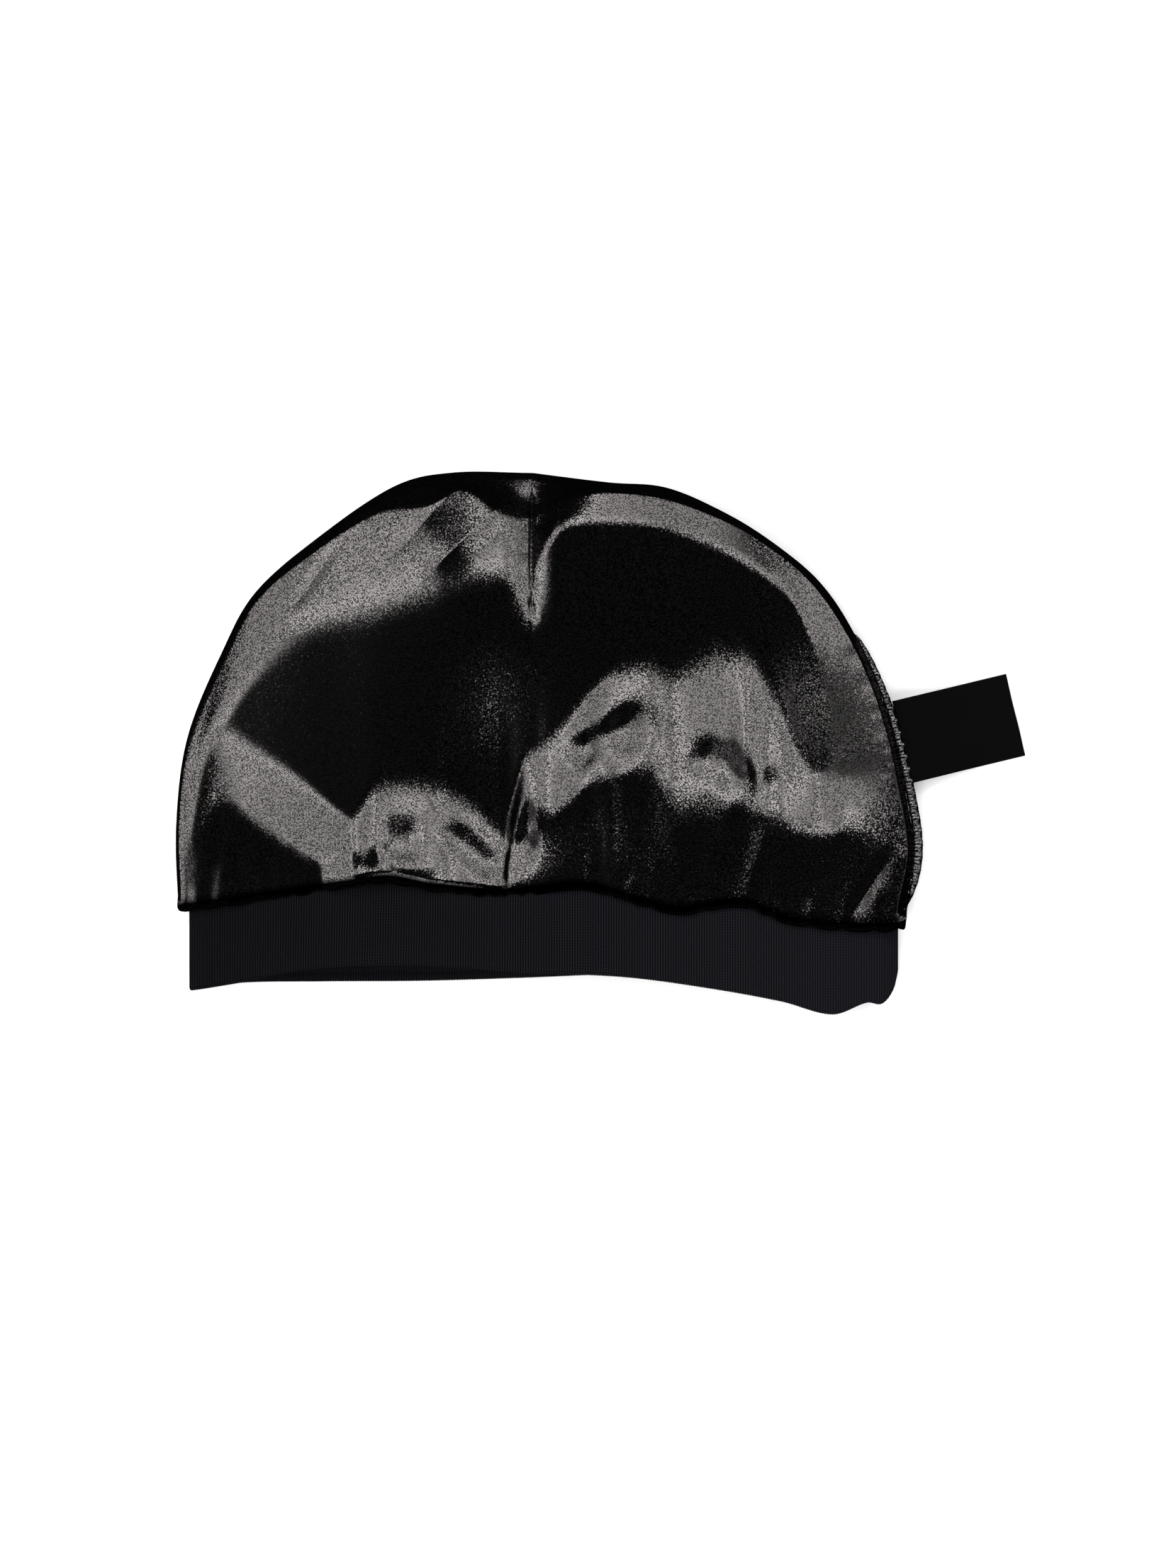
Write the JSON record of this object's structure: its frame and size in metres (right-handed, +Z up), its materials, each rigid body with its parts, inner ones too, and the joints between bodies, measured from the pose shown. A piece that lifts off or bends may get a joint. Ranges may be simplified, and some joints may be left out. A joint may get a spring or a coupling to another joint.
{
  "type": "satin skullcap",
  "caption": "Soft black satin skullcap lying flat with its lining side out, gathered on to a knit band, with a top dart and a blank ribbon label in the side seam.",
  "frame": {"origin": "centre of the underside, on the surface that the cap lies on", "axes": "+X along the band towards the side seam and its label, +Y from the mouth to the top of the crown, +Z up from the surface"},
  "size_m": [0.283, 0.1792, 0.024],
  "materials": {
    "satin": "black polyester satin with a soft grey sheen on the folds",
    "rib_knit": "matt fine rib knit, black with a blue cast",
    "overlock_thread": "matt black thread looped over a satin edge",
    "label_ribbon": "plain black woven ribbon, bare"
  },
  "bodies": {
    "root": {"crown": "satin", "band": "rib_knit", "side_seam": "overlock_thread", "care_label": "label_ribbon"}
  },
  "joints": []
}
